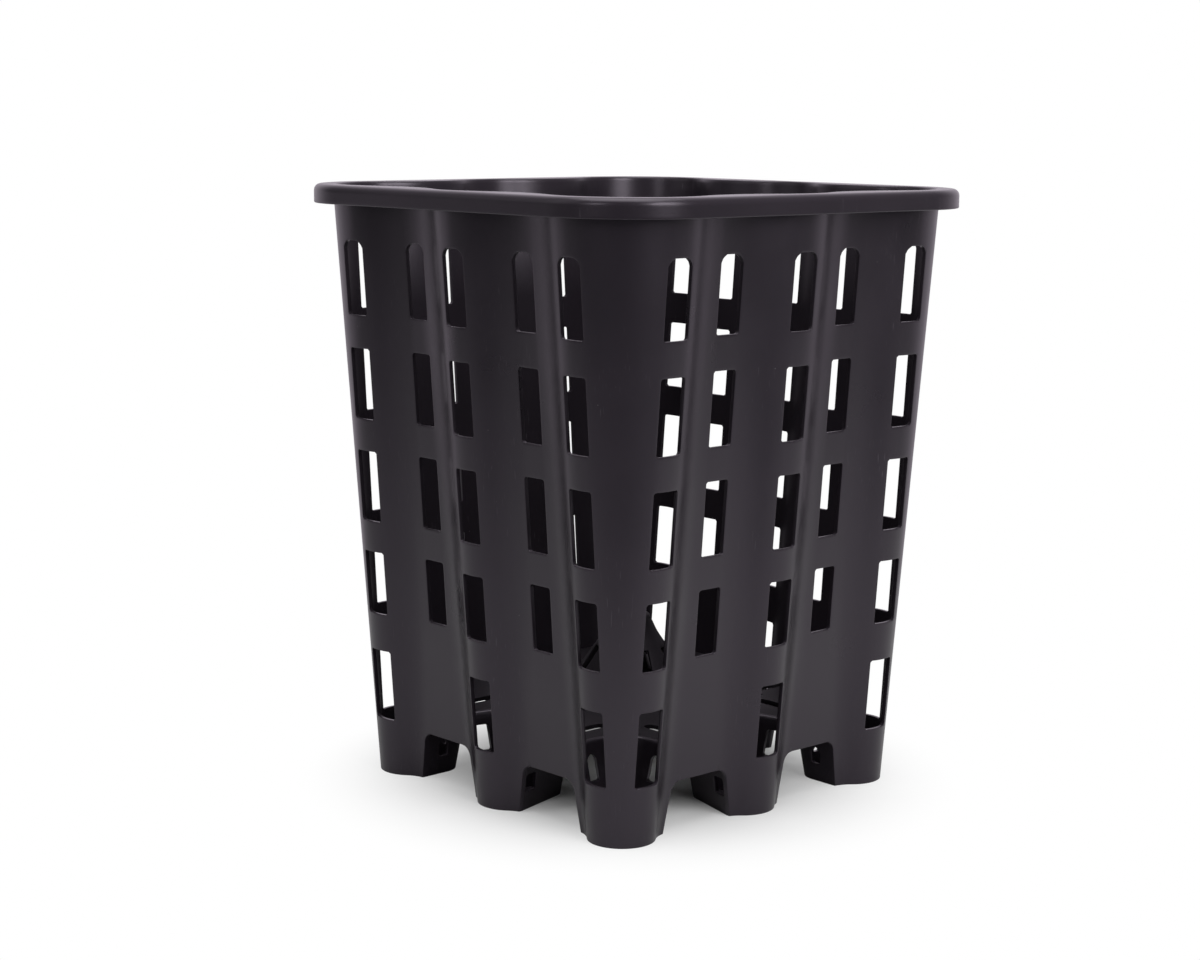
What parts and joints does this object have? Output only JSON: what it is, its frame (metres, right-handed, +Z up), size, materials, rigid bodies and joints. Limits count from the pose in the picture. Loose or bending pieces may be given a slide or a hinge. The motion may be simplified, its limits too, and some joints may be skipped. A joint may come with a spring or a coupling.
{
  "type": "air pruning pot",
  "caption": "Square tapered plant pot with slotted, fluted walls, a wide rounded rim, and a raised base on hollow feet with arches between them and a cone in the middle.",
  "frame": {"origin": "on the ground, at the centre of the pot's footprint", "axes": "+Z up along the pot's axis, -Y towards the front face, +X towards the right face"},
  "size_m": [0.2662, 0.2662, 0.315],
  "materials": {
    "charcoal_plastic": "injection-moulded polypropylene, charcoal, satin, with fine dust and scuffs"
  },
  "bodies": {
    "root": {"rim": "charcoal_plastic", "side_column_front": "charcoal_plastic", "side_column_right": "charcoal_plastic", "side_column_back": "charcoal_plastic", "side_column_left": "charcoal_plastic", "corner_column_front_right": "charcoal_plastic", "corner_column_back_right": "charcoal_plastic", "corner_column_back_left": "charcoal_plastic", "corner_column_front_left": "charcoal_plastic", "valley_panel_front_a": "charcoal_plastic", "valley_panel_front_b": "charcoal_plastic", "valley_panel_right_a": "charcoal_plastic", "valley_panel_right_b": "charcoal_plastic", "valley_panel_back_a": "charcoal_plastic", "valley_panel_back_b": "charcoal_plastic", "valley_panel_left_a": "charcoal_plastic", "valley_panel_left_b": "charcoal_plastic", "side_foot_front": "charcoal_plastic", "side_foot_right": "charcoal_plastic", "side_foot_back": "charcoal_plastic", "side_foot_left": "charcoal_plastic", "corner_foot_front_right": "charcoal_plastic", "corner_foot_back_right": "charcoal_plastic", "corner_foot_back_left": "charcoal_plastic", "corner_foot_front_left": "charcoal_plastic", "base_deck": "charcoal_plastic", "base_cone": "charcoal_plastic"}
  },
  "joints": []
}
